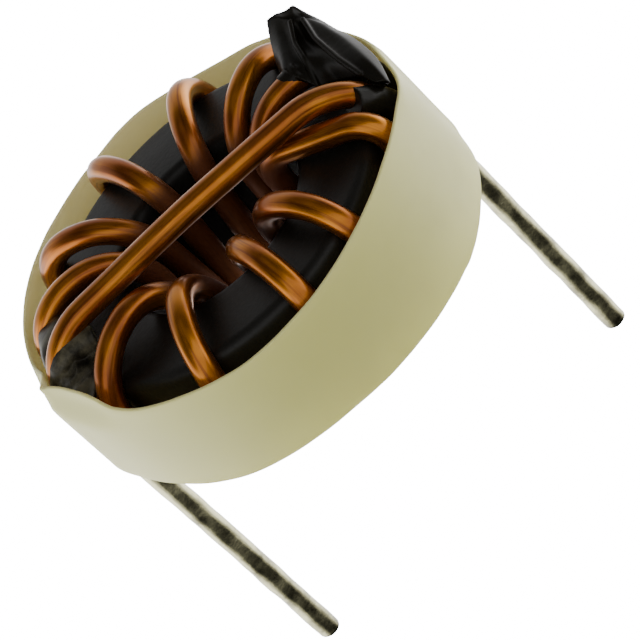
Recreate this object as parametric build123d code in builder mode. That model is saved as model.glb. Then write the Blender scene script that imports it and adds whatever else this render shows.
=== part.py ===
import os
from math import cos, degrees, radians, sin, tan

from build123d import *

# Core: a coated powder ring with bevelled edges
core_outer_diameter = 17.4
core_inner_diameter = 9.4
core_height = 5.0
core_edge_bevel = 0.55

# Wire: enamelled copper, stripped and tinned at both lead ends
wire_diameter = 1.22
tinned_diameter = 1.12
tinned_tip_bevel = 0.2
arch_bend_radius = 2.2
pressed_bend_radius = 1.4
foot_bend_radius = 0.9
wire_facets = 12
bend_steps = 4

# Winding: how the turns sit round the core
side_clearance = 0.12
under_clearance = 0.2
arch_clearance = 0.7
pressed_clearance = 0.1
crossing_clearance = 0.1
hole_clearance = 0.49

# Turns from the start lead round to the bridge, in degrees about the axis
turn_outer_angles = [0, 30, 60, 100, 133, 160, 204, 238, 271, 293, 324]
turn_inner_angles = [6, 27, 60, 93, 126, 147, 203, 226, 265, 291, 343]
bridge_up_angle = 338
hole_advance_share = 0.4
under_advance_share = 0.5

# Leads: both ends of the wire run straight down past the seat
lead_offset = 0.22
start_lead_length = 13.8
finish_lead_length = 13.4
strip_height = 0.5

# Band: thin plastic sleeve round the winding, cut a little out of square
band_clearance = 0.16
band_wall = 0.18
band_height = 5.75
band_lift = 0.84
band_slant = 1.6
pocket_clearance = 0.06
tab_rise = 0.95
tab_angle = 192
tab_half_width = 3.6
tab_rounding = 1.2

# Black sleeves over the two lead ends
sleeve_foot_gap = 0.19
sleeve_wall = 0.1
sleeve_clearance = 0.02
web_thickness = 0.5
hood_start_angle = -17
hood_end_angle = 17
hood_pleats = 5
hood_pleat_depth = 0.22
hood_reach = 1.9
hood_shoulder_rise = 0.85
mouth_rise = 2.55
mouth_start_angle = 5
mouth_end_angle = 22
mouth_width = 1.15
mouth_setback = 0.4
mouth_depth = 0.7
mouth_lip = 0.25
flap_start_angle = 166
flap_end_angle = 197
flap_reach = 2.4
flap_thickness = 0.5

cut_overrun = 1.0

# Heights, counted up from the seat under the winding, and radii about the axis
wire_radius = wire_diameter / 2
core_radius = core_outer_diameter / 2
core_bottom = wire_diameter + under_clearance
core_top = core_bottom + core_height
arch_height = core_top + arch_clearance + wire_radius
pressed_height = core_top + pressed_clearance + wire_radius
bridge_height = pressed_height + wire_diameter + crossing_clearance
outer_run_radius = core_radius + side_clearance + wire_radius
hole_run_radius = core_inner_diameter / 2 - hole_clearance - wire_radius
lead_radius = outer_run_radius + lead_offset
band_inner_radius = outer_run_radius + wire_radius + band_clearance
band_radius = band_inner_radius + band_wall
rim_height = band_lift + band_height
sleeve_inner_radius = wire_radius + sleeve_clearance
sleeve_radius = sleeve_inner_radius + sleeve_wall
sleeve_foot_height = wire_radius + foot_bend_radius + sleeve_foot_gap
pocket_radius = sleeve_radius + pocket_clearance


def polar(radius, angle, height):
    return Vector(radius * cos(radians(angle)), radius * sin(radians(angle)), height)


def bent(corners, radii):
    # Each corner becomes a bend of the given radius, made of short straight steps
    points = [corners[0]]
    for before, corner, after, radius in zip(corners, corners[1:], corners[2:], radii):
        heading = (corner - before).normalized()
        leaving = (after - corner).normalized()
        turn = heading.get_angle(leaving)
        hinge = Axis((0, 0, 0), heading.cross(leaving))
        half_step = radius * tan(radians(turn / bend_steps / 2))
        place = corner - heading * radius * tan(radians(turn / 2))
        for step in range(bend_steps):
            place = place + heading * half_step
            points.append(place)
            heading = heading.rotate(hinge, turn / bend_steps)
            place = place + heading * half_step
    points.append(corners[-1])
    return points


def ring_patch(start, end, inner_start, inner_end, outer, pleats, depth):
    # A piece of a ring as a polygon, with pleats that step in and out along both sides
    count = 2 * pleats
    points = []
    for index in range(count + 1):
        ripple = depth if index % 2 else 0
        angle = start + (end - start) * index / count
        points.append(polar(outer - ripple, angle, 0))
    for index in range(count, -1, -1):
        ripple = depth if index % 2 else 0
        angle = start + (end - start) * index / count
        inner = inner_start + (inner_end - inner_start) * index / count
        points.append(polar(inner + ripple, angle, 0))
    return [(point.X, point.Y) for point in points]


# Corners of the wire's route, from the start lead's strip mark to the finish lead's
corners = [Vector(lead_radius, 0, strip_height)]
radii = []
last = len(turn_outer_angles) - 1
for index, (outer, inner) in enumerate(zip(turn_outer_angles, turn_inner_angles)):
    following = bridge_up_angle if index == last else turn_outer_angles[index + 1]
    foot_inner = inner + (following - inner) * hole_advance_share
    foot_outer = foot_inner + (following - inner) * under_advance_share
    height = arch_height
    bend = arch_bend_radius
    rise_radius = lead_radius if index == 0 else outer_run_radius
    if index == last:
        foot_outer = following
        height = pressed_height
        bend = pressed_bend_radius
    corners.append(polar(rise_radius, outer, height))
    corners.append(polar(hole_run_radius, inner, height))
    corners.append(polar(hole_run_radius, foot_inner, wire_radius))
    corners.append(polar(outer_run_radius, foot_outer, wire_radius))
    radii += [bend, bend, foot_bend_radius, foot_bend_radius]
corners.append(polar(outer_run_radius, bridge_up_angle, bridge_height))
corners.append(Vector(-lead_radius, 0, bridge_height))
corners.append(Vector(-lead_radius, 0, strip_height))
radii += [arch_bend_radius, arch_bend_radius]
route = bent(corners, radii)

# The stretches of the route that the two sleeves cover
start_stretch = route[: 2 + bend_steps]
rise_stretch = route[-2 - 2 * bend_steps : -1 - bend_steps]
finish_stretch = route[-1 - bend_steps :]
cover_end = 1 + bend_steps // 2

with BuildPart() as toroid_core:
    with BuildSketch(Plane.XZ) as core_section:
        with Locations(((core_outer_diameter + core_inner_diameter) / 4, core_bottom + core_height / 2)):
            Rectangle((core_outer_diameter - core_inner_diameter) / 2, core_height)
        chamfer(core_section.vertices(), core_edge_bevel)
    revolve(axis=Axis.Z)

with BuildPart() as winding_wire:
    with BuildLine() as wire_route:
        Polyline(*route)
    with BuildSketch(Plane(origin=route[0], z_dir=route[1] - route[0])):
        RegularPolygon(wire_radius, wire_facets)
    sweep(path=wire_route.wires()[0], transition=Transition.RIGHT)
    for side, length in ((lead_radius, start_lead_length), (-lead_radius, finish_lead_length)):
        with BuildSketch(Plane.XY.offset(strip_height)):
            with Locations((side, 0)):
                Circle(tinned_diameter / 2)
        extrude(amount=-(strip_height + length))
        tip = winding_wire.faces().sort_by_distance((side, 0, -length))[0]
        chamfer(tip.edges(), tinned_tip_bevel)


def band_ring(height):
    # Round the winding, with a corner drawn out over each lead
    with BuildSketch(Plane.XY.offset(height)) as ring:
        Circle(band_radius)
        with Locations((lead_radius, 0), (-lead_radius, 0)):
            Circle(pocket_radius + band_wall)
        make_hull()
        offset(amount=-band_wall, mode=Mode.SUBTRACT)
    return ring.sketch


outward = polar(1, tab_angle, 0)
tab_plane = Plane(origin=(0, 0, rim_height), x_dir=(-outward.Y, outward.X, 0), z_dir=outward)

with BuildPart() as rim_trim:
    with BuildSketch(Plane(origin=(0, 0, rim_height)).rotated((0, band_slant, 0))):
        Circle(2 * band_radius)
    extrude(amount=2 * band_radius)
    with BuildSketch(tab_plane) as tab_shape:
        with BuildLine():
            Polyline(
                (-tab_half_width, -tab_rise),
                (-tab_half_width, 0),
                (0, tab_rise),
                (tab_half_width, 0),
                (tab_half_width, -tab_rise),
                close=True,
            )
        make_face()
        fillet(tab_shape.vertices().group_by(Axis.Y)[-1], tab_rounding)
    extrude(amount=2 * band_radius, mode=Mode.SUBTRACT)

with BuildPart() as outer_band:
    extrude(band_ring(-cut_overrun), amount=rim_height + tab_rise + 2 * cut_overrun, dir=(0, 0, 1))
    split(bisect_by=Plane(origin=(0, 0, band_lift)).rotated((0, band_slant, 0)), keep=Keep.TOP)
    add(rim_trim.part, mode=Mode.SUBTRACT)


def round_bar(stretch, radius):
    # A bar of round section along a stretch of the wire's route
    with BuildPart() as bar:
        with BuildLine() as line:
            Polyline(*stretch)
        with BuildSketch(Plane(origin=stretch[0], z_dir=stretch[1] - stretch[0])):
            Circle(radius)
        sweep(path=line.wires()[0], transition=Transition.RIGHT)
    return bar.part


rise_angle = bridge_up_angle - 360
rise_foot = polar(outer_run_radius, rise_angle, sleeve_foot_height)
hood_foot_height = core_top - core_edge_bevel
hood_foot_radius = core_radius + side_clearance
hood_outer_radius = band_inner_radius - pocket_clearance
web_inner_radius = outer_run_radius - web_thickness / 2
web_outer_radius = outer_run_radius + web_thickness / 2
shoulder_height = core_top + hood_shoulder_rise
shoulder_radius = lead_radius - hood_reach
mouth_height = core_top + mouth_rise
mouth_outer_radius = lead_radius - mouth_setback + mouth_width / 2
mouth_inner_radius = mouth_outer_radius - mouth_width
lip_angle = degrees(mouth_lip / mouth_inner_radius)

with BuildPart() as start_sleeve:
    # Tubes round the lead and round the leg that rises to the bridge, joined by a web
    with BuildSketch(Plane.XY.offset(sleeve_foot_height)):
        with Locations((lead_radius, 0)):
            Circle(sleeve_radius)
        web = ring_patch(rise_angle, 0, web_inner_radius, web_inner_radius, web_outer_radius, 1, 0)
        Polygon(*web, align=None)
    extrude(amount=hood_foot_height - sleeve_foot_height)
    add(round_bar([rise_foot, *rise_stretch[1:cover_end]], sleeve_radius))
    # Pleated hood over the first bend, open at the top
    hood = (hood_start_angle, hood_end_angle, hood_foot_radius)
    with BuildSketch(Plane.XY.offset(hood_foot_height)):
        Polygon(*ring_patch(*hood, hood_foot_radius, hood_outer_radius, hood_pleats, 0), align=None)
    with BuildSketch(Plane.XY.offset(shoulder_height)):
        shoulder = ring_patch(*hood, shoulder_radius, hood_outer_radius, hood_pleats, hood_pleat_depth)
        Polygon(*shoulder, align=None)
    with BuildSketch(Plane.XY.offset(mouth_height)):
        mouth = (mouth_start_angle, mouth_end_angle, mouth_inner_radius, mouth_inner_radius)
        Polygon(*ring_patch(*mouth, mouth_outer_radius, hood_pleats, hood_pleat_depth), align=None)
    loft(ruled=True)
    with BuildSketch(Plane.XY.offset(mouth_height)):
        Polygon(
            *ring_patch(
                mouth_start_angle + lip_angle,
                mouth_end_angle - lip_angle,
                mouth_inner_radius + mouth_lip,
                mouth_inner_radius + mouth_lip,
                mouth_outer_radius - mouth_lip,
                hood_pleats,
                hood_pleat_depth,
            ),
            align=None,
        )
    extrude(amount=-mouth_depth, mode=Mode.SUBTRACT)
    add(round_bar(start_stretch, sleeve_inner_radius), mode=Mode.SUBTRACT)
    add(round_bar(rise_stretch, sleeve_inner_radius), mode=Mode.SUBTRACT)

with BuildPart() as finish_sleeve:
    # Tube round the lead, and a pleated flap pressed flat on the core under the bridge
    with BuildSketch(Plane.XY.offset(sleeve_foot_height)):
        with Locations((-lead_radius, 0)):
            Circle(sleeve_radius)
    extrude(amount=core_top + flap_thickness - sleeve_foot_height)
    with BuildSketch(Plane.XY.offset(core_top)):
        flap_inner_radius = core_radius - flap_reach
        flap = (flap_start_angle, flap_end_angle, flap_inner_radius, flap_inner_radius)
        Polygon(*ring_patch(*flap, hood_outer_radius, hood_pleats, hood_pleat_depth), align=None)
    extrude(amount=flap_thickness)
    add(round_bar(finish_stretch, sleeve_inner_radius), mode=Mode.SUBTRACT)

os.makedirs("parts", exist_ok=True)
pieces = [
    ("toroid_core", toroid_core.part),
    ("winding_wire", winding_wire.part),
    ("outer_band", outer_band.part),
    ("start_sleeve", start_sleeve.part),
    ("finish_sleeve", finish_sleeve.part),
]
for name, piece in pieces:
    piece.label = name
    export_step(piece, f"parts/{name}.step")
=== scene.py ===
import math

import bpy
from mathutils import Matrix, Vector, noise


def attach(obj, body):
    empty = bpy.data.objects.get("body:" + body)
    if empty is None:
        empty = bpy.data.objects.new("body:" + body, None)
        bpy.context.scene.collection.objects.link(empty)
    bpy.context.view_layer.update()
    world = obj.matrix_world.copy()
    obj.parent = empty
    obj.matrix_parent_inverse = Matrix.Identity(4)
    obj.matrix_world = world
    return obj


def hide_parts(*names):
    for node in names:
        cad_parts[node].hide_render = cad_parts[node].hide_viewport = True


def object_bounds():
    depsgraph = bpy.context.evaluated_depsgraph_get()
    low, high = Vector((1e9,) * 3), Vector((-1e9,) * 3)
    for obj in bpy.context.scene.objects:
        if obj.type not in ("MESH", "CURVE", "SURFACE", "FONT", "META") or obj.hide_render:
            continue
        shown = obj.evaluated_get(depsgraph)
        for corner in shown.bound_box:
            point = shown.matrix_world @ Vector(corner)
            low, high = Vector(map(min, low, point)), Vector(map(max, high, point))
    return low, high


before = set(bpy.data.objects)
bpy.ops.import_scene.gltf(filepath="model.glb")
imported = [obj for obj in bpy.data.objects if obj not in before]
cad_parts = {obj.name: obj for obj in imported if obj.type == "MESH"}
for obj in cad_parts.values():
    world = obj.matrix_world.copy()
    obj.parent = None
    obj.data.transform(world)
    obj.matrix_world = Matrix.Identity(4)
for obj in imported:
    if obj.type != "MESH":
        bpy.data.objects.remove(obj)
cadLow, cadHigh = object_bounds()
mm = 0.001
print("frame loaded:", sorted(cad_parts))

seedSteps = (7.3, 3.1, 5.7)  # how far apart the noise of two seeds lies


def polar(radius, angle, height):
    turn = math.radians(angle)
    return Vector((radius * math.cos(turn), radius * math.sin(turn), height))


def between(low, high, value):  # 0 at low, 1 at high, eased in between
    t = min(max((value - low) / (high - low), 0), 1)
    return t * t * (3 - 2 * t)


def ripple(point, scale, seed):  # smooth noise, about -1 to 1
    return noise.noise(Vector(point) * scale + Vector([seed * step for step in seedSteps]))


def addObject(name, data):
    obj = bpy.data.objects.new(name, data)
    bpy.context.scene.collection.objects.link(obj)
    return obj


def addMesh(name, points, faces):
    mesh = bpy.data.meshes.new(name)
    mesh.from_pydata([Vector(p) * mm for p in points], [], faces)
    mesh.validate()
    mesh.update()
    mesh.polygons.foreach_set("use_smooth", [True] * len(mesh.polygons))
    return addObject(name, mesh)


def gridFaces(columns, rows, wrapColumns=True, wrapRows=True):
    faces = []
    for c in range(columns if wrapColumns else columns - 1):
        for r in range(rows if wrapRows else rows - 1):
            right = (c + 1) % columns
            up = (r + 1) % rows
            faces.append((c * rows + r, right * rows + r, right * rows + up, c * rows + up))
    return faces


def standFor(obj, node, finish):
    obj.data.materials.clear()
    obj.data.materials.append(finish)
    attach(obj, "root")
    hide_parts(node)
    print(node, "dressed:", len(obj.data.polygons), "faces")
    return obj


# shader expressions

class Value:  # a socket that Python's operators can work with
    def __init__(self, shade, socket):
        self.shade, self.socket = shade, socket

    def maths(self, operation, first, second):
        return self.shade.add("ShaderNodeMath", {"operation": operation}, {0: first, 1: second})

    def __add__(self, other):
        return self.maths("ADD", self, other)

    def __radd__(self, other):
        return self.maths("ADD", other, self)

    def __sub__(self, other):
        return self.maths("SUBTRACT", self, other)

    def __rsub__(self, other):
        return self.maths("SUBTRACT", other, self)

    def __mul__(self, other):
        return self.maths("MULTIPLY", self, other)

    def __rmul__(self, other):
        return self.maths("MULTIPLY", other, self)


class Shade:  # the nodes of one material or world
    def __init__(self, owner, skin="Principled BSDF", place="Object"):
        self.owner = owner
        owner.use_nodes = True
        self.nodes = owner.node_tree.nodes
        self.links = owner.node_tree.links
        self.skin = self.nodes[skin]
        self.place = self.add("ShaderNodeTexCoord", {}, {}, place)

    def add(self, kind, settings, inputs, output=0):
        node = self.nodes.new(kind)
        for key, value in settings.items():
            setattr(node, key, value)
        for key, value in inputs.items():
            self.feed(node.inputs[key], value)
        return Value(self, node.outputs[output])

    def feed(self, socket, value):
        if isinstance(value, Value):
            self.links.new(value.socket, socket)
        else:
            socket.default_value = value

    def set(self, **sockets):
        for key, value in sockets.items():
            self.feed(self.skin.inputs[key.replace("_", " ")], value)
        return self.owner

    def attribute(self, name):
        return self.add("ShaderNodeAttribute", {"attribute_name": name}, {}, "Fac")

    def noise(self, scale, detail=3.0, roughness=0.5, where=None):
        sockets = {"Vector": where or self.place, "Scale": scale, "Detail": detail, "Roughness": roughness}
        return self.add("ShaderNodeTexNoise", {}, sockets, "Fac")

    def ramp(self, value, low, high):  # 0 at low, 1 at high, clamped
        sockets = {"Value": value, "From Min": low, "From Max": high}
        return self.add("ShaderNodeMapRange", {"interpolation_type": "SMOOTHSTEP"}, sockets, "Result")

    def mix(self, factor, first, second):
        sockets = {"Factor": factor, 6: first, 7: second}
        return self.add("ShaderNodeMix", {"data_type": "RGBA"}, sockets, 2)

    def blend(self, factor, tones):  # between two screen colours
        return self.mix(factor, linear(*tones[0]), linear(*tones[1]))

    def bump(self, height, strength, distance=0.1 * mm):
        sockets = {"Height": height, "Strength": strength, "Distance": distance}
        return self.add("ShaderNodeBump", {}, sockets, "Normal")


def material(name):
    return Shade(bpy.data.materials.new(name))


def linear(red, green, blue):  # a screen colour, 0 to 255, as the shader wants it
    def channel(c):
        c = c / 255
        return c / 12.92 if c <= 0.04045 else ((c + 0.055) / 1.055) ** 2.4
    return (channel(red), channel(green), channel(blue), 1)


# camera, floor and lights

view = {
    "place": (-7.44, -148.60, 99.34),
    "right": (0.6676, -0.4413, -0.5996),
    "up": (0.7433, 0.3488, 0.5708),
    "back": (-0.0427, -0.8268, 0.5609),
    "lens": 228.5,
    "sensor": 36,
    "clip": (0.01, 10),
}


def makeCamera():
    camera = bpy.data.cameras.new("photoCamera")
    camera.lens = view["lens"]
    camera.sensor_width = view["sensor"]
    camera.clip_start, camera.clip_end = view["clip"]
    obj = addObject("photoCamera", camera)
    turn = Matrix((view["right"], view["up"], view["back"])).transposed()
    obj.matrix_world = Matrix.Translation(Vector(view["place"]) * mm) @ turn.to_4x4()
    bpy.context.scene.camera = obj


studio = {
    "floorSize": 3.0,
    "floorTone": (0.9, 0.9, 0.9, 1),
    "floorRoughness": 0.9,
    "floorGlow": 16.0,
    "glows": {  # bright patches of the room: strength, then where each fades in along a direction
        "allRound": (0.07, [("height", -0.8, -0.4)]),
        "back": (0.8, [("across", 0.0, 0.8), ("height", 0.95, 0.5)]),
        "front": (1.3, [("across", -0.38, -0.52), ("height", 0.88, 0.78), ("height", 0.12, 0.35)]),
        "sides": (2.5, [("asideSquared", 0.3, 0.8), ("height", 0.5, 0.1)]),
        "table": (1.0, [("height", 0.05, -0.15), ("height", -0.6, -0.25)]),
        "under": (3.8, [("height", -0.42, -0.52), ("height", -0.68, -0.6), ("across", -0.22, 0.02)]),
    },
    "darkToward": (-0.04, -0.83, 0.56),  # the dark side of the room, behind the camera
    "darkSpread": (0.80, 0.95),
    "darkDepth": 0.1,
    "boxPower": 0.012,
    "boxSize": 0.16,
    "boxReach": 0.25,
    "boxFrom": (0, -0.05, 0.93),
}


def makeFloor():
    low = cadLow.z
    half = studio["floorSize"] / 2
    mesh = bpy.data.meshes.new("paleFloor")
    corners = [(-half, -half, low), (half, -half, low), (half, half, low), (-half, half, low)]
    mesh.from_pydata(corners, [], [(0, 1, 2, 3)])
    floor = addObject("paleFloor", mesh)
    paper = material("palePaper")
    paper.set(Base_Color=studio["floorTone"], Roughness=studio["floorRoughness"])
    paper.set(Emission_Color=(1, 1, 1, 1), Emission_Strength=studio["floorGlow"])
    mesh.materials.append(paper.owner)
    floor.visible_diffuse = floor.visible_glossy = floor.visible_shadow = False  # the room lights the part


def makeRoom():
    world = bpy.data.worlds.new("softRoom")
    bpy.context.scene.world = world
    room = Shade(world, "Background", "Generated")
    aside, across, height = (
        room.add("ShaderNodeSeparateXYZ", {}, {0: room.place}, axis) for axis in ("X", "Y", "Z")
    )
    directions = {"asideSquared": aside * aside, "across": across, "height": height}
    glow = 0
    for strength, fades in studio["glows"].values():
        patch = strength
        for direction, low, high in fades:
            patch = patch * room.ramp(directions[direction], low, high)
        glow = glow + patch
    aim = {0: room.place, 1: studio["darkToward"]}
    dark = room.add("ShaderNodeVectorMath", {"operation": "DOT_PRODUCT"}, aim, "Value")
    shaded = glow * (1 - room.ramp(dark, *studio["darkSpread"]) * studio["darkDepth"])
    room.set(Color=(1, 1, 1, 1), Strength=shaded)


def makeLamp():
    light = bpy.data.lights.new("overheadBox", "AREA")
    light.energy = studio["boxPower"]
    light.size = studio["boxSize"]
    lamp = addObject("overheadBox", light)
    direction = Vector(studio["boxFrom"]).normalized()
    lamp.location = direction * studio["boxReach"]
    lamp.rotation_mode = "QUATERNION"
    lamp.rotation_quaternion = direction.to_track_quat("Z", "Y")


makeCamera()
makeFloor()
makeRoom()
makeLamp()
print("camera, floor and lights set")


# ring core: a lathe section with rounded bevels

core = {
    "outer": 17.4 / 2,
    "inner": 9.4 / 2,
    "low": 1.42,
    "high": 6.42,
    "bevel": 0.55,
    "edgeSteps": 6,
    "columns": 192,
    "tones": ((13, 12, 9), (26, 24, 19)),
    "cloud": (260, 4),  # noise scale and detail
    "dimples": (900, 3),
    "grain": (5200, 2),
    "dimpleShare": 0.6,  # of the bump, the rest is grain
    "bump": 0.25,
    "gloss": 0.28,
    "roughness": 0.36,
    "cloudRoughness": 0.16,
    "holeRoughness": 1.8,
    "holeFade": (4.9, 4.1),  # radius where the hole's duller finish, and the wire's painted shade there, begins, and where it is full
}


def inHole(shade):  # 1 inside the core's hole, 0 outside it
    flat = shade.add("ShaderNodeVectorMath", {"operation": "MULTIPLY"}, {0: shade.place, 1: (1, 1, 0)})
    reach = shade.add("ShaderNodeVectorMath", {"operation": "LENGTH"}, {0: flat}, "Value")
    begins, full = core["holeFade"]
    return shade.ramp(reach, begins * mm, full * mm)


def coreMaterial():
    shade = material("coreCoating")
    cloud = shade.noise(*core["cloud"])
    dimples = shade.noise(*core["dimples"])
    grain = shade.noise(*core["grain"])
    height = dimples * core["dimpleShare"] + grain * (1 - core["dimpleShare"])
    rough = core["roughness"] + cloud * core["cloudRoughness"]
    return shade.set(
        Base_Color=shade.blend(cloud, core["tones"]),
        Roughness=rough + inHole(shade) * core["holeRoughness"],
        Specular_IOR_Level=core["gloss"],
        Normal=shade.bump(height, core["bump"]),
    )


def makeCore():
    b = core["bevel"]
    corners = [  # centre of each rounded edge and the direction it starts in
        (core["outer"] - b, core["low"] + b, -90),
        (core["outer"] - b, core["high"] - b, 0),
        (core["inner"] + b, core["high"] - b, 90),
        (core["inner"] + b, core["low"] + b, 180),
    ]
    section = []
    for radius, height, start in corners:
        for step in range(core["edgeSteps"] + 1):
            turn = math.radians(start + 90 * step / core["edgeSteps"])
            section.append((radius + b * math.cos(turn), height + b * math.sin(turn)))
    points = []
    for column in range(core["columns"]):
        angle = 360 * column / core["columns"]
        points += [polar(radius, angle, height) for radius, height in section]
    obj = addMesh("ringCore", points, gridFaces(core["columns"], len(section)))
    return standFor(obj, "toroid_core", coreMaterial())


makeCore()


# winding: the wire's corners, rounded and given its thickness by geometry nodes

winding = {
    "wireRadius": 0.60,
    "footHeight": 0.61,
    "outerFootHeight": 0.83,
    "outerAngles": [0, 30, 63, 100, 133, 160, 204, 238, 271, 293, 324],
    "innerAngles": [6, 27, 60, 93, 126, 147, 203, 226, 265, 291, 343],
    "bridgeUp": 338,
    "outerRun": 9.43,
    "innerRun": 3.6,
    "leadRadius": 9.65,
    "archHeight": 7.73,
    "pressedHeight": 7.13,
    "bridgeHeight": 8.42,
    "bridgeEndHeight": 8.2,
    "stripHeight": 0.5,
    "archBend": 2.8,
    "startBend": 3.2,
    "pressedBend": 1.4,
    "footBend": 0.9,
    "outerFootBend": 1.4,
    "bridgeBend": 3.3,
    "bridgeBow": 0.3,
    "bowBend": 60,
    "holeAdvance": {"most": 0.4, 3: 0.3, 4: -0.15},  # by turn, how far a leg leans to the next turn
    "underAdvance": 0.9,
    "bendSteps": 14,
    "sides": 28,
    "spacing": 0.22,
    "sway": 0.05,
    "swayScale": 170,
}

copper = {
    "tone": (420, 3),  # noise scale and detail
    "toneSpread": (0.3, 0.7),
    "tones": ((146, 76, 14), (190, 118, 20)),
    "streak": (1500, 2),
    "lines": (2.6, 3, 0.6),  # long marks left by the drawing die: scale, detail and roughness
    "linesAlong": 90,
    "lineSpread": (0.46, 0.66),
    "lineTone": (108, 52, 14),
    "lineShare": 0.7,
    "holeTop": (7.6, 6.6),  # height where the painted shade in the hole, with its duller, less metallic and thinner-coated finish, begins, and where it is full
    "holeShadeTone": (84, 40, 12),
    "holeShadeShare": 0.9,
    "metallic": 0.9,
    "holeMetallic": -0.3,
    "roughness": 0.26,
    "streakRoughness": 0.08,
    "holeRoughness": 0.4,
    "varnish": 0.3,
    "holeVarnish": -0.27,
    "varnishRoughness": 0.16,
    "varnishIndex": 1.5,
    "streakShare": 0.3,  # of the bump, the rest is lines
    "bump": 0.05,
}


def drawnLines(shade):  # noise that runs along the wire
    along = shade.attribute("wireAlong")
    turn = shade.attribute("wireRound") * math.tau
    across = shade.add("ShaderNodeMath", {"operation": "COSINE"}, {0: turn})
    aside = shade.add("ShaderNodeMath", {"operation": "SINE"}, {0: turn})
    drawn = {"X": along * copper["linesAlong"], "Y": across, "Z": aside}
    return shade.noise(*copper["lines"], where=shade.add("ShaderNodeCombineXYZ", {}, drawn))


def copperMaterial():
    shade = material("enamelledCopper")
    tone = shade.noise(*copper["tone"])
    streak = shade.noise(*copper["streak"])
    lines = drawnLines(shade)
    height = shade.add("ShaderNodeSeparateXYZ", {}, {0: shade.place}, "Z")
    begins, full = copper["holeTop"]
    hole = inHole(shade) * shade.ramp(height, begins * mm, full * mm)
    body = shade.blend(shade.ramp(tone, *copper["toneSpread"]), copper["tones"])
    marked = shade.ramp(lines, *copper["lineSpread"]) * copper["lineShare"]
    body = shade.mix(marked, body, linear(*copper["lineTone"]))
    # painted shade: the wire's colour is darkened deep in the core's hole
    body = shade.mix(hole * copper["holeShadeShare"], body, linear(*copper["holeShadeTone"]))
    rough = copper["roughness"] + streak * copper["streakRoughness"]
    relief = streak * copper["streakShare"] + lines * (1 - copper["streakShare"])
    return shade.set(
        Base_Color=body,
        Metallic=copper["metallic"] + hole * copper["holeMetallic"],
        Roughness=rough + hole * copper["holeRoughness"],
        Coat_Weight=copper["varnish"] + hole * copper["holeVarnish"],
        Coat_Roughness=copper["varnishRoughness"],
        Coat_IOR=copper["varnishIndex"],
        Normal=shade.bump(relief, copper["bump"]),
    )


def windingCorners():  # each corner of the wire's route with the radius of its bend
    w = winding
    foot = w["footHeight"]
    corners = [(Vector((w["leadRadius"], 0, w["stripHeight"])), 0)]
    last = len(w["outerAngles"]) - 1
    for turn, (outer, inner) in enumerate(zip(w["outerAngles"], w["innerAngles"])):
        pressed = turn == last
        following = w["bridgeUp"] if pressed else w["outerAngles"][turn + 1]
        footInner = inner + (following - inner) * w["holeAdvance"].get(turn, w["holeAdvance"]["most"])
        footOuter = following if pressed else inner + (following - inner) * w["underAdvance"]
        height = w["pressedHeight"] if pressed else w["archHeight"]
        bend = w["pressedBend"] if pressed else w["archBend"]
        rise = w["outerRun"] if turn else w["leadRadius"]
        corners.append((polar(rise, outer, height), bend if turn else w["startBend"]))
        corners.append((polar(w["innerRun"], inner, height), bend))
        corners.append((polar(w["innerRun"], footInner, foot), w["footBend"]))
        corners.append((polar(w["outerRun"], footOuter, w["outerFootHeight"]), w["outerFootBend"]))
    start = polar(w["outerRun"], w["bridgeUp"], w["bridgeHeight"])
    end = Vector((-w["leadRadius"], 0, w["bridgeEndHeight"]))
    middle = Vector(((start.x + end.x) / 2, (start.y + end.y) / 2 + w["bridgeBow"], w["bridgeHeight"]))
    corners += [(start, w["bridgeBend"]), (middle, w["bowBend"]), (end, w["bridgeBend"])]
    corners.append((Vector((-w["leadRadius"], 0, w["stripHeight"])), 0))
    return corners


def addSocket(tree, name, kind, direction="INPUT"):
    return tree.interface.new_socket(name=name, in_out=direction, socket_type="NodeSocket" + kind)


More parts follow.
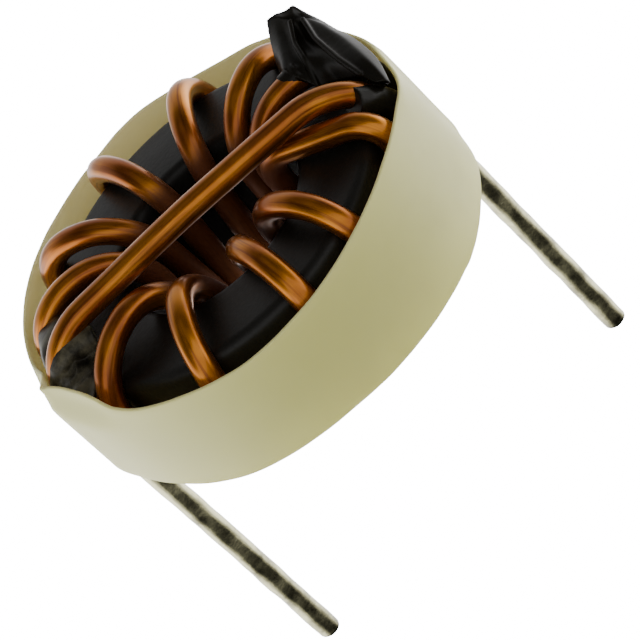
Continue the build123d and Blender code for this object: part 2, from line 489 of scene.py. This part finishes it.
def makeTubeTree():
    tree = bpy.data.node_groups.new("roundWireAlongRoute", "GeometryNodeTree")
    addSocket(tree, "Geometry", "Geometry", "OUTPUT")
    for name, kind in (
        ("Route", "Geometry"), ("Wire radius", "Float"), ("Bend steps", "Int"), ("Sides", "Int"),
        ("Spacing", "Float"), ("Sway", "Float"), ("Material", "Material"),
    ):
        addSocket(tree, name, kind)

    def node(kind, settings=(), **links):  # _0 and _1 stand for sockets by number
        made = tree.nodes.new(kind)
        for key, value in settings:
            setattr(made, key, value)
        for key, value in links.items():
            socket = made.inputs[int(key[1:]) if key[1:].isdigit() else key.replace("_", " ")]
            if isinstance(value, bpy.types.NodeSocket):
                tree.links.new(value, socket)
            else:
                socket.default_value = value
        return made

    given = node("NodeGroupInput").outputs
    bend = node("GeometryNodeInputNamedAttribute", [("data_type", "FLOAT")], Name="bendRadius")
    line = node("GeometryNodeMeshToCurve", Mesh=given["Route"])
    rounded = node(
        "GeometryNodeFilletCurve", [("mode", "POLY")],
        Curve=line.outputs["Curve"], Count=given["Bend steps"], Radius=bend.outputs["Attribute"],
    )
    stepped = node(
        "GeometryNodeResampleCurve", [("mode", "LENGTH")],
        Curve=rounded.outputs["Curve"], Length=given["Spacing"],
    )
    wander = node("ShaderNodeTexNoise", Scale=winding["swayScale"], Detail=1.0)
    centred = node(
        "ShaderNodeVectorMath", [("operation", "SUBTRACT")], _0=wander.outputs["Color"], _1=(0.5, 0.5, 0.5),
    )
    pushed = node(
        "ShaderNodeVectorMath", [("operation", "SCALE")], _0=centred.outputs[0], Scale=given["Sway"],
    )
    swayed = node("GeometryNodeSetPosition", Geometry=stepped.outputs["Curve"], Offset=pushed.outputs[0])
    along = node("GeometryNodeSplineParameter")
    marked = node(
        "GeometryNodeStoreNamedAttribute", [("data_type", "FLOAT"), ("domain", "POINT")],
        Geometry=swayed.outputs[0], Name="wireAlong", Value=along.outputs["Length"],
    )
    ring = node("GeometryNodeCurvePrimitiveCircle", Resolution=given["Sides"], Radius=given["Wire radius"])
    ringPlace = node("GeometryNodeSplineParameter")
    ringMarked = node(
        "GeometryNodeStoreNamedAttribute", [("data_type", "FLOAT"), ("domain", "POINT")],
        Geometry=ring.outputs["Curve"], Name="wireRound", Value=ringPlace.outputs["Factor"],
    )
    tube = node(
        "GeometryNodeCurveToMesh",
        Curve=marked.outputs[0], Profile_Curve=ringMarked.outputs[0], Fill_Caps=True,
    )
    smooth = node("GeometryNodeSetShadeSmooth", Geometry=tube.outputs[0])
    real = node("GeometryNodeRealizeInstances", Geometry=smooth.outputs[0])
    dressed = node("GeometryNodeSetMaterial", Geometry=real.outputs[0], Material=given["Material"])
    node("NodeGroupOutput", Geometry=dressed.outputs[0])
    return tree


tubeTree = makeTubeTree()


def throughNodes(route, tree, values):  # the tree's result as a plain mesh
    modifier = route.modifiers.new("nodes", "NODES")
    modifier.node_group = tree
    for item in tree.interface.items_tree:
        if item.in_out == "INPUT" and item.name in values:
            modifier[item.identifier] = values[item.name]
    seen = route.evaluated_get(bpy.context.evaluated_depsgraph_get())
    mesh = bpy.data.meshes.new_from_object(seen)
    route.modifiers.remove(modifier)
    route.data = mesh
    return route


def tubeAlong(name, corners, radius, form, finish=None):  # a round tube through corners with bends
    mesh = bpy.data.meshes.new(name)
    places = [place * mm for place, bend in corners]
    mesh.from_pydata(places, [(i, i + 1) for i in range(len(places) - 1)], [])
    bends = mesh.attributes.new("bendRadius", "FLOAT", "POINT")
    bends.data.foreach_set("value", [bend * mm for place, bend in corners])
    values = {
        "Wire radius": radius * mm,
        "Bend steps": form["bendSteps"],
        "Sides": form["sides"],
        "Spacing": form["spacing"] * mm,
        "Sway": form["sway"] * mm,
    }
    if finish:
        values["Material"] = finish
    return throughNodes(addObject(name, mesh), tubeTree, values)


def makeWinding():
    enamelled = copperMaterial()
    obj = tubeAlong("copperWinding", windingCorners(), winding["wireRadius"], winding, enamelled)
    return standFor(obj, "winding_wire", enamelled)


makeWinding()


# tinned leads: the stripped ends below the winding, lumpy with solder

leads = {
    "radius": 0.56,
    "tips": {"start": (1, -13.8), "finish": (-1, -13.4)},  # which side of the core, and the tip's height
    "tipBevel": 0.2,
    "lump": 0.045,
    "lumpScale": 0.9,
    "lumpStretch": 0.9,
    "lumpSink": 0.4,
    "rows": 220,
    "sides": 40,
    "patch": (700, 4, 0.6),  # noise scale, detail and roughness
    "pits": (3600, 3, 0.6),
    "patchSpread": (0.42, 0.68),
    "tones": ((156, 153, 120), (104, 101, 78)),
    "roughness": 0.16,
    "pitRoughness": 0.16,
    "patchShare": 0.7,  # of the bump, the rest is pits
    "bump": 0.3,
}


def solderMaterial():
    shade = material("dullSolder")
    patch = shade.noise(*leads["patch"])
    pits = shade.noise(*leads["pits"])
    relief = patch * leads["patchShare"] + pits * (1 - leads["patchShare"])
    return shade.set(
        Base_Color=shade.blend(shade.ramp(patch, *leads["patchSpread"]), leads["tones"]),
        Metallic=1.0,
        Roughness=leads["roughness"] + pits * leads["pitRoughness"],
        Normal=shade.bump(relief, leads["bump"]),
    )


def makeLead(name, side, tip, solder):
    rows, sides, bevel = leads["rows"], leads["sides"], leads["tipBevel"]
    top = winding["stripHeight"]
    points = []
    for row in range(rows):
        height = top + (tip - top) * row / (rows - 1)
        taper = bevel * (1 - min((height - tip) / bevel, 1)) ** 2
        for column in range(sides):
            out = polar(1, 360 * column / sides, 0)
            swell = ripple((out.x, out.y, height * leads["lumpStretch"]), leads["lumpScale"], side)
            lump = leads["lump"] * (swell - leads["lumpSink"])
            points.append(Vector((side, 0, height)) + out * (leads["radius"] - taper + min(lump, 0)))
    faces = gridFaces(rows, sides, wrapColumns=False)
    faces.append(tuple(range(sides)))
    faces.append(tuple(range((rows - 1) * sides, rows * sides))[::-1])
    obj = addMesh(name + "LeadTin", points, faces)
    return standFor(obj, "winding_wire", solder)


solder = solderMaterial()
for leadName, (leadSide, leadTip) in leads["tips"].items():
    makeLead(leadName, leadSide * winding["leadRadius"], leadTip, solder)


# outer band: thin plastic wall, drawn out where it passes the sleeved legs

band = {
    "radius": 10.38,
    "wall": 0.18,
    "rim": [  # angle and height of the top edge
        (-180, 7.2), (-163, 7.45), (-157, 7.4), (-150, 6.95), (-143, 6.75), (-125, 6.55), (-111, 6.4),
        (-98, 6.5), (-84, 6.65), (-69, 6.85), (-52, 6.95), (-36, 6.75), (-22, 6.55), (0, 6.5), (15, 6.55),
        (42, 6.45), (57, 6.3), (71, 6.5), (82, 6.7), (100, 6.6), (127, 6.6), (150, 6.5), (165, 6.5),
    ],
    "foot": [  # angle and height of the bottom edge
        (-180, 1.3), (-155, 1.4), (-143, 1.2), (-131, 1.07), (-103, 1.1), (-87, 0.95), (-74, 0.8),
        (-58, 0.6), (-54, 0.5), (-34, 0.5), (0, 0.55), (60, 0.75), (120, 1.0),
    ],
    "rimBulge": [  # angle and how far the wall stands out from the circle, at the top edge
        (-180, -0.40), (-177.5, -0.08), (-174.5, -0.31), (-169.5, -0.5), (-163, -0.52), (-156, -0.4),
        (-149, -0.12), (-140, 0), (-45, 0), (-34, 0.02), (-26, 0.24), (-21, 0.24), (-11, 0.04), (0, 0),
        (135, 0), (150, -0.14), (160, -0.3), (168, -0.48), (173, -0.54), (177, -0.55),
    ],
    "footBulge": [  # the same at the bottom edge
        (-180, 0.22), (-176, 0.16), (-168, 0.02), (-150, 0), (-40, 0), (-22, 0.08), (-10, 0.03), (-4, 0.16),
        (0, 0.22), (4, 0.16), (12, 0.02), (30, 0), (150, 0), (168, 0.02), (176, 0.16),
    ],
    "bulgeFade": (5.5, 7.1),
    "edgeRound": [(0.15, 0.15), (0.5, 0), (0.85, 0.15)],  # depth into the wall and drop, in walls
    "rimRipple": 0.025,
    "footRipple": 0.02,
    "rippleScale": 9,
    "sway": 0.025,
    "swayScale": 3,
    "swayStretch": 0.1,
    "columns": 480,
    "rows": 16,
    "cloud": (140, 3),  # noise scale and detail
    "fine": (2600, 3),
    "outsideTones": ((198, 195, 112), (208, 205, 126)),
    # painted light: the inner face's tone is a paler, less yellow copy of the same plastic
    "paintedInsideTone": (204, 190, 138),
    "smudge": (85, 4, 0.6),
    "smudgeSpread": (0.56, 0.76),
    "smudgeTone": (178, 172, 90),
    "smudgeShare": 0.35,
    "roughness": 0.42,
    "cloudRoughness": 0.12,
    "translucence": 0.55,
    "lightDepth": 0.8,
    "lightDepthByColour": (1.0, 1.0, 0.9),
    "fineShare": 0.3,  # of the bump, the rest is cloud
    "bump": 0.12,
}


def roundTable(table, angle):  # smooth value at an angle from a ring of (angle, value)
    count = len(table)
    for index in range(count):
        a0, v0 = table[index - 1]
        a1, v1 = table[index]
        a2, v2 = table[(index + 1) % count]
        a3, v3 = table[(index + 2) % count]
        span = (a2 - a1) % 360
        step = (angle - a1) % 360
        if step < span:
            t = step / span
            before, after = (a1 - a0) % 360, (a3 - a2) % 360
            m1 = (v2 - v0) / (before + span) * span
            m2 = (v3 - v1) / (span + after) * span
            return (
                (2 * t**3 - 3 * t**2 + 1) * v1 + (t**3 - 2 * t**2 + t) * m1
                + (3 * t**2 - 2 * t**3) * v2 + (t**3 - t**2) * m2
            )


def bandMaterial():
    shade = material("creamPlastic")
    cloud = shade.noise(*band["cloud"])
    fine = shade.noise(*band["fine"])
    smudge = shade.ramp(shade.noise(*band["smudge"]), *band["smudgeSpread"])
    outside = shade.blend(cloud, band["outsideTones"])
    outside = shade.mix(smudge * band["smudgeShare"], outside, linear(*band["smudgeTone"]))
    relief = fine * band["fineShare"] + cloud * (1 - band["fineShare"])
    return shade.set(
        # painted light: the inner face takes its own tone, set for the light it gets
        Base_Color=shade.mix(shade.attribute("wallDepth"), outside, linear(*band["paintedInsideTone"])),
        Roughness=band["roughness"] + cloud * band["cloudRoughness"],
        Subsurface_Weight=band["translucence"],
        Subsurface_Radius=band["lightDepthByColour"],
        Subsurface_Scale=band["lightDepth"] * mm,
        Normal=shade.bump(relief, band["bump"]),
    )


def makeBand():
    rows, wall = band["rows"], band["wall"]
    points = []
    for column in range(band["columns"]):
        angle = 360 * column / band["columns"]
        high, low = roundTable(band["rimBulge"], angle), roundTable(band["footBulge"], angle)
        edge = polar(1, angle, 0)
        rim = roundTable(band["rim"], angle) + band["rimRipple"] * ripple(edge, band["rippleScale"], 1)
        foot = roundTable(band["foot"], angle) + band["footRipple"] * ripple(edge, band["rippleScale"], 2)
        heights = [foot + wall / 2 + (rim - foot - wall) * row / rows for row in range(rows + 1)]
        section = [(0, height) for height in heights]
        section += [(depth, rim - wall * drop) for depth, drop in band["edgeRound"]]
        section += [(1, height) for height in reversed(heights)]
        section += [(depth, foot + wall * drop) for depth, drop in reversed(band["edgeRound"])]
        for depth, height in section:
            blend = between(*band["bulgeFade"], height)
            outer = band["radius"] + high * blend + low * (1 - blend)
            spot = edge + Vector((0, 0, height * band["swayStretch"]))
            sway = band["sway"] * (ripple(spot, band["swayScale"], 3) - 1)
            points.append(polar(outer + sway - wall * depth, angle, height))
    obj = addMesh("plasticBand", points, gridFaces(band["columns"], len(section)))
    depths = obj.data.attributes.new("wallDepth", "FLOAT", "POINT")
    depths.data.foreach_set("value", [depth for depth, height in section] * band["columns"])
    return standFor(obj, "outer_band", bandMaterial())


makeBand()


# black sleeves: shrink tube over the lead ends, each a folded sheet fused to its tubes

sleeve = {
    "tubeRadius": 0.70,
    "slack": 0.03,
    "foot": 1.7,
    "bendSteps": 10,
    "sides": 28,
    "spacing": 0.2,
    "sway": 0,
    "voxel": 0.05,
    "finer": 10,
    "cloud": (500, 3),  # noise scale and detail
    "fine": (3000, 3),
    "tones": ((15, 13, 9), (27, 24, 17)),
    # pale speckle: real dust, and where it is strong a painted sheen
    "dustAndSheen": (900, 4, 0.6),
    "dustAndSheenSpread": (0.3, 0.7),
    "dustAndSheenTone": (140, 134, 108),
    "roughness": 0.26,
    "cloudRoughness": 0.16,
    "gloss": 0.13,
    "fineShare": 0.5,  # of the bump, the rest is cloud
    "bump": 0.2,
}

hood = {
    "rows": [  # radius, angle and height, from the left edge across to the band, from behind the mouth
        [(9.3, 20, 8.0), (9.6, 18.5, 8.1), (9.75, 15.5, 8.1), (9.9, 13.5, 8.0), (9.95, 12, 7.9),
         (10.0, 10.5, 7.8), (10.03, 10, 7.6), (10.06, 9.6, 7.3), (10.08, 9.3, 7.0)],
        [(8.97, 22.7, 8.85), (9.25, 19.6, 8.95), (9.41, 16.2, 9.0), (9.76, 14.4, 9.03), (9.69, 12.3, 8.95),
         (9.63, 10.3, 8.85), (9.83, 9.9, 8.3), (10.0, 9.2, 7.65), (10.06, 9.0, 7.2)],
        [(8.95, 22.7, 8.82), (9.12, 19.6, 8.80), (9.2, 16.1, 8.76), (9.38, 13.6, 8.70), (9.42, 12.1, 8.64),
         (9.48, 10.2, 8.60), (9.62, 8.3, 8.35), (9.82, 5.0, 7.95), (10.0, 6.9, 7.45)],
        [(8.93, 22.7, 8.83), (9.03, 19.5, 8.85), (9.02, 15.8, 8.8), (9.07, 12.5, 8.78), (9.22, 11.6, 8.62),
         (9.37, 9.4, 8.65), (9.56, 7.0, 8.4), (9.74, 2.9, 8.0), (9.97, 6.1, 7.5)],
        [(8.36, 20.9, 8.5), (8.36, 16.0, 8.62), (8.41, 11.9, 8.52), (8.29, 6.7, 8.45), (8.76, 7.5, 8.1),
         (8.88, 0.8, 8.35), (9.23, -3.1, 8.1), (9.7, -5.2, 7.95), (10.06, -4.2, 7.4)],
        [(7.63, 16.6, 8.2), (7.57, 8.6, 8.5), (7.67, 4.2, 8.3), (7.92, -1.1, 8.2), (8.4, -5.2, 8.0),
         (8.95, -11.1, 7.95), (9.37, -15.3, 7.8), (9.95, -17.5, 7.7), (10.25, -15.4, 7.2)],
        [(6.98, 10.7, 7.9), (6.98, 2.0, 8.46), (7.12, -4.1, 8.05), (7.44, -7.6, 7.3), (8.24, -9.6, 7.1),
         (9.43, -20.5, 7.55), (9.77, -24.0, 7.3), (10.2, -24.4, 7.05), (10.3, -25.0, 6.8)],
    ],
    "folds": (3, 5),  # columns that are sharp creases
    "foldFrom": 3,  # the row where their rounded edges begin
    "foldRadius": 0.12,
    "foldLift": 0.06,
    "foldBend": 0.5,
    "base": 6.2,
    "middle": (8.9, -2),
    "tuck": 0.35,
    "mouth": (7.4, 1.5),  # radius and angle where the sheath on the first turn ends
    "collar": [  # round the leg that rises to the bridge; its top points, up the bend, sit to one side of the wire as a black cover standing in for the shade on the wire's lower side
        (9.43, 338, 1.7), (9.43, 338, 4.6), (9.46, 337.4, 5.8), (9.16, 337.0, 6.35), (8.93, 335.6, 6.8),
        (8.55, 333.8, 7.25),
    ],
    "collarBend": 0.6,
    "smoothing": 3,
    "dustAndSheen": 0.0,
}

flap = {
    "rows": [  # the same for the other sleeve, from the inner end out to the band
        [(7.3, 160, 6.9), (7.2, 166, 7.05), (7.1, 175, 7.2), (7.0, 183, 7.1), (6.9, 188, 6.9),
         (6.8, 192, 6.6)],
        [(7.8, 159, 7.2), (7.75, 165, 7.5), (7.7, 174, 7.5), (7.6, 185, 7.35), (7.6, 190, 7.05),
         (7.6, 196, 6.75)],
        [(8.85, 162, 7.25), (8.5, 170, 7.55), (8.45, 176, 7.5), (8.4, 186, 7.35), (8.4, 191, 7.1),
         (8.4, 199, 6.85)],
        [(9.2, 170, 7.2), (9.1, 174, 7.4), (9.05, 179, 7.25), (9.0, 186, 7.15), (9.1, 192, 7.05),
         (9.2, 200, 6.9)],
        [(9.5, 176, 6.95), (9.5, 179, 7.0), (9.5, 182, 6.95), (9.5, 187, 6.95), (9.5, 194, 6.95),
         (9.55, 201, 6.85)],
        [(9.72, 181, 6.6), (9.7, 183, 6.7), (9.7, 186, 6.75), (9.7, 190, 6.8), (9.62, 196, 6.85),
         (9.65, 202, 6.75)],
    ],
    "folds": (),
    "ridges": [  # radius and angle of each curved ridge's centre, then its own radius
        (7.56, 192.4, 0.45), (7.5, 183, 0.75), (8.75, 187, 0.42),
    ],
    "ridgeHeight": 0.06,
    "ridgeWidth": 0.08,
    "creaseSide": (-0.2, -0.9),  # y where the wrinkles begin, and where they are full
    "creaseHeight": 0.09,
    "creaseScale": 1.1,
    "creaseMiddle": 0.5,
    "creaseSlope": 2.2,
    "fineHeight": 0.05,
    "fineScale": 2.6,
    "base": 6.2,
    "middle": (8.6, 182),
    "tuck": 0.25,
    "collar": [  # beside the wire's end
        (7.0, 187, 7.15), (7.7, 184.8, 7.35), (8.3, 183.4, 7.4), (8.8, 182.3, 7.0), (9.25, 181.5, 6.4),
        (9.6, 180.6, 5.6), (9.65, 180, 4.6), (9.65, 180, 1.7),
    ],
    "collarBend": 0.8,
    "smoothing": 2,
    # dust, and painted sheen: this lightens the flap, which lies in shade
    "dustAndSheen": 0.36,
}


def curveThrough(values, t):  # smooth curve through a list of vectors, t in steps of the list
    index = min(math.floor(t), len(values) - 2)
    t -= index
    a, b, c, d = (values[min(max(index + i, 0), len(values) - 1)] for i in (-1, 0, 1, 2))
    bend = (a * 2 - b * 5 + c * 4 - d) * (t * t / 2)
    return b + (c - a) * (t / 2) + bend + (b * 3 - a - c * 3 + d) * (t**3 / 2)


def creased(values, folds, t):  # the same, broken at the folds
    edges = [0, *folds, len(values) - 1]
    for low, high in zip(edges, edges[1:]):
        if t <= high:
            return curveThrough(values[low:high + 1], t - low)


def sheetBody(name, form, relief=None):  # a closed body under a sheet of rows and columns
    finer = sleeve["finer"]
    rows = [[polar(*place) for place in row] for row in form["rows"]]
    across = (len(rows[0]) - 1) * finer + 1
    along = (len(rows) - 1) * finer + 1
    middle = polar(*form["middle"], form["base"])
    top = []
    for c in range(across):
        line = [creased(row, form["folds"], c / finer) for row in rows]
        top += [curveThrough(line, r / finer) for r in range(along)]
    if relief:
        top = [p + Vector((0, 0, relief(p))) for p in top]
    under = [Vector((p.x, p.y, form["base"])).lerp(middle, form["tuck"]) for p in top]
    count = len(top)
    faces = gridFaces(across, along, False, False)
    faces += [tuple(count + i for i in reversed(face)) for face in faces]
    ring = list(range(along))
    ring += [c * along + along - 1 for c in range(1, across)]
    ring += [count - 1 - r for r in range(1, along)]
    ring += [c * along for c in range(across - 2, 0, -1)]
    faces += [(b, a, count + a, count + b) for a, b in zip(ring, ring[1:] + ring[:1])]
    return addMesh(name, top + under, faces)


def fuse(name, parts, smoothing):  # one skin round several closed shapes
    points, faces = [], []
    for part in parts:
        start = len(points)
        points += [v.co / mm for v in part.data.vertices]
        faces += [tuple(start + i for i in f.vertices) for f in part.data.polygons]
        bpy.data.objects.remove(part)
    obj = addMesh(name, points, faces)
    remesh = obj.modifiers.new("oneSkin", "REMESH")
    remesh.mode = "VOXEL"
    remesh.voxel_size = sleeve["voxel"] * mm
    soften = obj.modifiers.new("soften", "SMOOTH")
    soften.iterations = smoothing
    mesh = bpy.data.meshes.new_from_object(obj.evaluated_get(bpy.context.evaluated_depsgraph_get()))
    obj.modifiers.clear()
    obj.data = mesh
    mesh.polygons.foreach_set("use_smooth", [True] * len(mesh.polygons))
    return obj


def sleeveMaterial(name, dustAndSheen):
    shade = material(name)
    cloud = shade.noise(*sleeve["cloud"])
    fine = shade.noise(*sleeve["fine"])
    # dust and painted sheen: a pale grey speckle lifts the sleeve's colour
    dustAndSheenMask = shade.ramp(shade.noise(*sleeve["dustAndSheen"]), *sleeve["dustAndSheenSpread"]) * dustAndSheen
    body = shade.blend(cloud, sleeve["tones"])
    relief = fine * sleeve["fineShare"] + cloud * (1 - sleeve["fineShare"])
    return shade.set(
        Base_Color=shade.mix(dustAndSheenMask, body, linear(*sleeve["dustAndSheenTone"])),
        Roughness=sleeve["roughness"] + cloud * sleeve["cloudRoughness"],
        Specular_IOR_Level=sleeve["gloss"],
        Normal=shade.bump(relief, sleeve["bump"]),
    )


def collarTube(form):
    corners = [(polar(*place), form["collarBend"]) for place in form["collar"]]
    return tubeAlong("collar", corners, sleeve["tubeRadius"], sleeve)


def leadSheath():  # close round the first turn, from the lead up under the hood
    w = winding
    corners = [
        (Vector((w["leadRadius"], 0, sleeve["foot"])), 0),
        (Vector((w["leadRadius"], 0, w["archHeight"])), w["startBend"]),
        (polar(*hood["mouth"], w["archHeight"]), 0),
    ]
    return tubeAlong("leadSheath", corners, w["wireRadius"] + sleeve["slack"], sleeve)


def foldEdge(column):  # the rounded edge of one crease
    lift = Vector((0, 0, hood["foldLift"]))
    rows = hood["rows"][hood["foldFrom"]:]
    corners = [(polar(*row[column]) + lift, hood["foldBend"]) for row in rows]
    return tubeAlong("fold", corners, hood["foldRadius"], sleeve)


def makeStartSleeve():
    edges = [foldEdge(column) for column in hood["folds"]]
    parts = [sheetBody("hoodSheet", hood), leadSheath(), collarTube(hood), *edges]
    obj = fuse("startSleeve", parts, hood["smoothing"])
    black = sleeveMaterial("shrinkTubeBlack", hood["dustAndSheen"])
    return standFor(obj, "start_sleeve", black)


def wrinkle(place):  # curved ridges on the side away from the wire
    flat = Vector((place.x, place.y, 0))
    crease = flap["creaseMiddle"] - abs(ripple(flat, flap["creaseScale"], 4)) * flap["creaseSlope"]
    height = flap["creaseHeight"] * crease + flap["fineHeight"] * ripple(flat, flap["fineScale"], 5)
    for radius, angle, ring in flap["ridges"]:
        away = ((flat - polar(radius, angle, 0)).length - ring) / flap["ridgeWidth"]
        height += flap["ridgeHeight"] * math.exp(-away * away)
    return between(*flap["creaseSide"], place.y) * height


def makeFinishSleeve():
    parts = [sheetBody("flapSheet", flap, wrinkle), collarTube(flap)]
    obj = fuse("finishSleeve", parts, flap["smoothing"])
    black = sleeveMaterial("shrinkTubeDustAndSheen", flap["dustAndSheen"])
    return standFor(obj, "finish_sleeve", black)


makeStartSleeve()
makeFinishSleeve()
